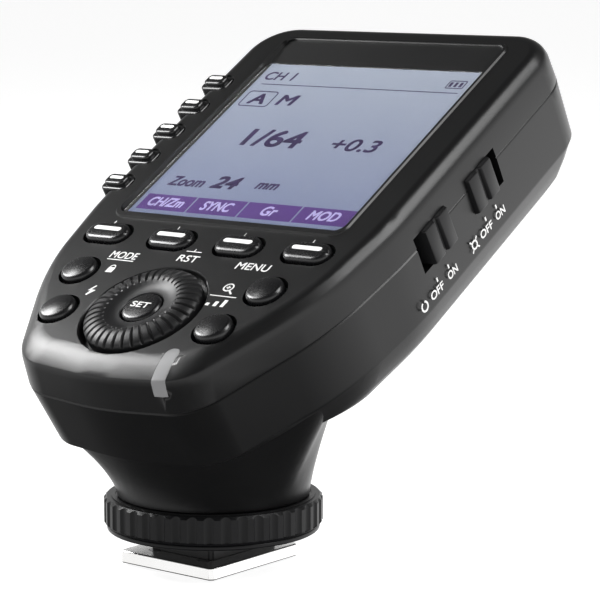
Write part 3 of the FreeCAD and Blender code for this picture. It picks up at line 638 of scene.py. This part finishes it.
printed_word("mode_letters", "MODE", (-12.7, 11.6), (5.4, 1.6))
printed_line("mode_rule", [(-15.4, 10.4), (-10.0, 10.4)], 0.2)
printed_line("lock_body", [(-13.45, 7.95), (-12.15, 7.95)], 1.2)
printed_line("lock_bow", arc_points((-12.8, 8.6), 0.48, 0, 180), 0.22)
printed_line("flash_bolt_upper", [(-12.4, 4.0), (-13.1, 2.75), (-12.55, 2.85)], 0.32)
printed_line("flash_bolt_lower", [(-12.8, 2.9), (-12.2, 3.0), (-12.9, 1.7)], 0.32)
printed_word("reset_letters", "RST", (-0.4, 12.4), (3.9, 1.55))
printed_line("reset_rule", [(-2.0, 14.1), (1.0, 14.1)], 0.16)
printed_line("reset_stem", [(-0.5, 14.1), (-0.5, 14.75)], 0.16)
printed_word("menu_letters", "MENU", (12.5, 12.1), (6.2, 1.6))
printed_line("lens_ring", arc_points((11.5, 7.0), 0.8, 0, 360), 0.24)
printed_line("lens_handle", [(12.05, 6.4), (12.9, 5.6)], 0.3)
printed_line("lens_plus_across", [(11.1, 7.0), (11.9, 7.0)], 0.2)
printed_line("lens_plus_up", [(11.5, 6.6), (11.5, 7.4)], 0.2)
printed_line("lens_rule", [(9.4, 4.95), (14.4, 4.95)], 0.18)
for step in range(3):
    mark_u = 10.4 + 1.4 * step
    printed_line(f"level_mark_{step + 1}", [(mark_u, 2.6), (mark_u, 3.2 + 0.5 * step)], 0.65)
for index, key_u in enumerate(FUNCTION_KEY_U):
    printed_line(f"key_tick_{index + 1}", [(key_u - 0.8, 18.75), (key_u - 0.8, 19.6)], 0.14)


# ---------------------------------------------------------------- side legends

SIDE = side_plane(WALL_U)


def wall_line(name, points, width):
    stroke(name, points, width, "body", WHITE_INK, SIDE, WALL_LEGEND_LIFT)


for title, words, centre, width in [("on", "ON", (33.2, -15.0), 2.6), ("off", "OFF", (28.6, -15.1), 3.5),
                                    ("lamp_on", "ON", (47.9, -14.7), 2.6),
                                    ("lamp_off", "OFF", (43.6, -14.8), 3.5)]:
    legend("switch_" + title, words, centre, (width, 1.35), "body", WHITE_INK, SIDE, WALL_LEGEND_LIFT,
           bold=WALL_BOLD)
for index, (tick_v, tick_w) in enumerate([(32.7, -13.6), (29.4, -13.6), (47.4, -13.2), (44.2, -13.2)]):
    ends = [(tick_v, tick_w - 0.35), (tick_v, tick_w + 0.35)]
    wall_line(f"switch_tick_{index + 1}", ends, 0.3)
wall_line("power_mark", arc_points((24.9, -15.2), 0.75, 110, 430), 0.3)
wall_line("lamp_mark", arc_points(LAMP_MARK, 0.65, 0, 360), 0.28)
for index in range(4):
    angle = math.radians(45 + 90 * index)
    ray = Vector((math.cos(angle), math.sin(angle)))
    ends = [Vector(LAMP_MARK) + ray * 0.75, Vector(LAMP_MARK) + ray * 1.4]
    wall_line(f"lamp_ray_{index + 1}", ends, 0.26)


# ---------------------------------------------------------------- display

glass = crowned("display_window_glass", (0, 43.5), (22.2, 21.7), 1.8, -0.92, -0.60, 0.0, 0.06)
stand_for("display_window_glass", glass, "display_window")


def lcd_letters(name, words, centre, size, bold=0.08, lean=0.12):
    legend(name, words, centre, size, "body", LCD_INK, height=INK_W, bold=bold, lean=lean)


def lcd_box(name, centre, loop, width):
    """An outline round a centre on the display."""
    shifted = HEAD @ Matrix.Translation(Vector((*centre, 0)) * MM)
    stroke(name, loop, width, "body", LCD_INK, shifted, INK_W, closed=True)


lcd_letters("channel_letters", "CH 1", (-17.2, 61.6), (6.2, 2.3))
stroke("top_rule", [(-19.7, 59.2), (19.9, 59.2)], 0.16, "body", LCD_INK, height=INK_W)
lcd_box("battery_box", (18.3, 61.5), rounded_loop(1.6, 1.0, 0.2, 2), 0.16)
for index in range(3):
    cell_u = 17.3 + 0.95 * index
    stroke(f"battery_cell_{index + 1}", [(cell_u, 60.9), (cell_u, 62.1)], 0.5, "body", LCD_INK, height=INK_W)
lcd_box("group_box", (-17.4, 55.0), rounded_loop(3.0, 2.1, 0.6, 4), 0.2)
lcd_letters("group_letter", "A", (-17.4, 55.0), (3.4, 2.9), 0.2)
lcd_letters("manual_letter", "M", (-11.2, 55.0), (3.7, 2.9), 0.2)
lcd_letters("power_letters", "1/64", (-6.6, 44.5), (11.6, 4.6), 0.26, lean=0.05)
lcd_letters("step_letters", "+0.3", (9.9, 44.1), (9.2, 3.2), 0.12)
lcd_letters("zoom_letters", "Zoom", (-15.4, 31.8), (7.2, 2.5), 0.14, lean=0.2)
lcd_letters("zoom_value", "24", (-7.7, 32.3), (5.2, 3.2), 0.28, lean=0.2)
lcd_letters("zoom_unit", "mm", (0.6, 32.2), (4.3, 1.6), 0.14, lean=0.2)
# Each soft key's cell on the display: its left and right edge, its word and the width of the word.
SOFTKEYS = [(-20.6, -10.55, "CH/Zm", 7.2), (-10.2, -0.2, "SYNC", 6.0), (0.15, 10.5, "Gr", 3.0),
            (10.85, 20.9, "MOD", 5.8)]
for number, (cell_start, cell_end, words, width) in enumerate(SOFTKEYS, start=1):
    ends = [(cell_start, SOFTKEY_V), (cell_end, SOFTKEY_V)]
    stroke(f"softkey_cell_{number}", ends, SOFTKEY_HEIGHT, "body", LCD_BAR, height=INK_W - 0.01)
    centre = ((cell_start + cell_end) / 2, SOFTKEY_TEXT_V)
    legend(f"softkey_letters_{number}", words, centre, (width, SOFTKEY_TEXT_HEIGHT), "body", LCD_PALE,
           height=INK_W + 0.012, bold=0.12, lean=0.15)


# ---------------------------------------------------------------- studio


def studio_floor():
    """A pale paper floor just under the part, which shows in no reflection and casts no shade."""
    work = bmesh.new()
    corners = [(-FLOOR_REACH, -FLOOR_REACH), (FLOOR_REACH, -FLOOR_REACH), (FLOOR_REACH, FLOOR_REACH),
               (-FLOOR_REACH, FLOOR_REACH)]
    work.faces.new([work.verts.new((x, y, -FLOOR_DROP)) for x, y in corners])
    mesh = bpy.data.meshes.new("studio_floor")
    work.to_mesh(mesh)
    work.free()
    floor = bpy.data.objects.new("studio_floor", mesh)
    bpy.context.scene.collection.objects.link(floor)
    paint = finish_of("floor_paper", [FLOOR_GREY] * 3, 0.8, 3.0, 0.02, mottle=0.01, specular=0.1)
    shader = paint.node_tree.nodes["Principled BSDF"]
    shader.inputs["Emission Color"].default_value = (1, 1, 1, 1)
    shader.inputs["Emission Strength"].default_value = FLOOR_GLOW
    mesh.materials.append(paint)
    floor.visible_glossy = False
    floor.visible_shadow = False


def area_light(name, place_at, aim, size, power):
    """A soft rectangular lamp that the camera itself does not see."""
    lamp = bpy.data.lights.new(name, "AREA")
    lamp.shape = "RECTANGLE"
    lamp.size = size[0]
    lamp.size_y = size[1]
    lamp.energy = power
    holder = bpy.data.objects.new(name, lamp)
    bpy.context.scene.collection.objects.link(holder)
    holder.location = place_at
    holder.visible_camera = False
    holder.rotation_euler = (Vector(place_at) - Vector(aim)).to_track_quat("Z", "Y").to_euler()


def sky():
    """Soft light from all round: brightest near the horizon, dark overhead and underneath."""
    world = bpy.data.worlds.new("studio_sky")
    bpy.context.scene.world = world
    world.use_nodes = True
    nodes = world.node_tree.nodes
    links = world.node_tree.links
    back = nodes["Background"]
    where = nodes.new("ShaderNodeTexCoord")
    parts = nodes.new("ShaderNodeSeparateXYZ")
    links.new(where.outputs["Generated"], parts.inputs["Vector"])
    height = nodes.new("ShaderNodeValToRGB")
    height.color_ramp.interpolation = "EASE"
    stops = height.color_ramp.elements
    stops[0].position = SKY_STOPS[0][0]
    stops[0].color = (*[SKY_STOPS[0][1]] * 3, 1)
    stops[1].position = SKY_STOPS[-1][0]
    stops[1].color = (*[SKY_STOPS[-1][1]] * 3, 1)
    for position, level in SKY_STOPS[1:-1]:
        stops.new(position).color = (level, level, level, 1)
    shifted = nodes.new("ShaderNodeMapRange")
    shifted.inputs["From Min"].default_value = -1
    links.new(parts.outputs["Z"], shifted.inputs["Value"])
    links.new(shifted.outputs["Result"], height.inputs["Fac"])
    facing = nodes.new("ShaderNodeVectorMath")
    facing.operation = "DOT_PRODUCT"
    facing.inputs[1].default_value = BRIGHT_SIDE
    links.new(where.outputs["Generated"], facing.inputs[0])
    side = nodes.new("ShaderNodeMapRange")
    side.inputs["From Min"].default_value = -SIDE_SPAN
    side.inputs["From Max"].default_value = SIDE_SPAN
    side.inputs["To Min"].default_value = SIDE_DIM
    side.inputs["To Max"].default_value = SIDE_BRIGHT
    links.new(facing.outputs["Value"], side.inputs["Value"])
    links.new(height.outputs["Color"], back.inputs["Color"])
    links.new(side.outputs["Result"], back.inputs["Strength"])


def camera():
    """The camera, turned and raised about the part's origin."""
    lens = bpy.data.cameras.new("photo_angle")
    lens.lens = CAMERA_LENS
    lens.sensor_width = CAMERA_SENSOR
    lens.sensor_height = CAMERA_SENSOR
    lens.sensor_fit = "HORIZONTAL"
    lens.clip_start = 0.01
    lens.clip_end = 50
    level = math.cos(CAMERA_RISE)
    sine = math.sin(CAMERA_TURN)
    cosine = math.cos(CAMERA_TURN)
    forward = Vector((-sine * level, cosine * level, -math.sin(CAMERA_RISE)))
    right = Vector((cosine, sine, 0))
    up = right.cross(forward)
    aim = right * CAMERA_AIM_RIGHT + up * CAMERA_AIM_UP
    seat = aim - forward * CAMERA_REACH
    holder = bpy.data.objects.new("photo_angle", lens)
    bpy.context.scene.collection.objects.link(holder)
    turned = Matrix((right, up, -forward)).transposed().to_4x4()
    holder.matrix_world = Matrix.Translation(seat) @ turned
    bpy.context.scene.camera = holder


studio_floor()
sky()
camera()
for lamp_name, lamp_place, lamp_aim, lamp_size, lamp_power in LAMPS:
    area_light(lamp_name, lamp_place, lamp_aim, lamp_size, lamp_power)
bpy.context.scene.view_settings.view_transform = "Standard"
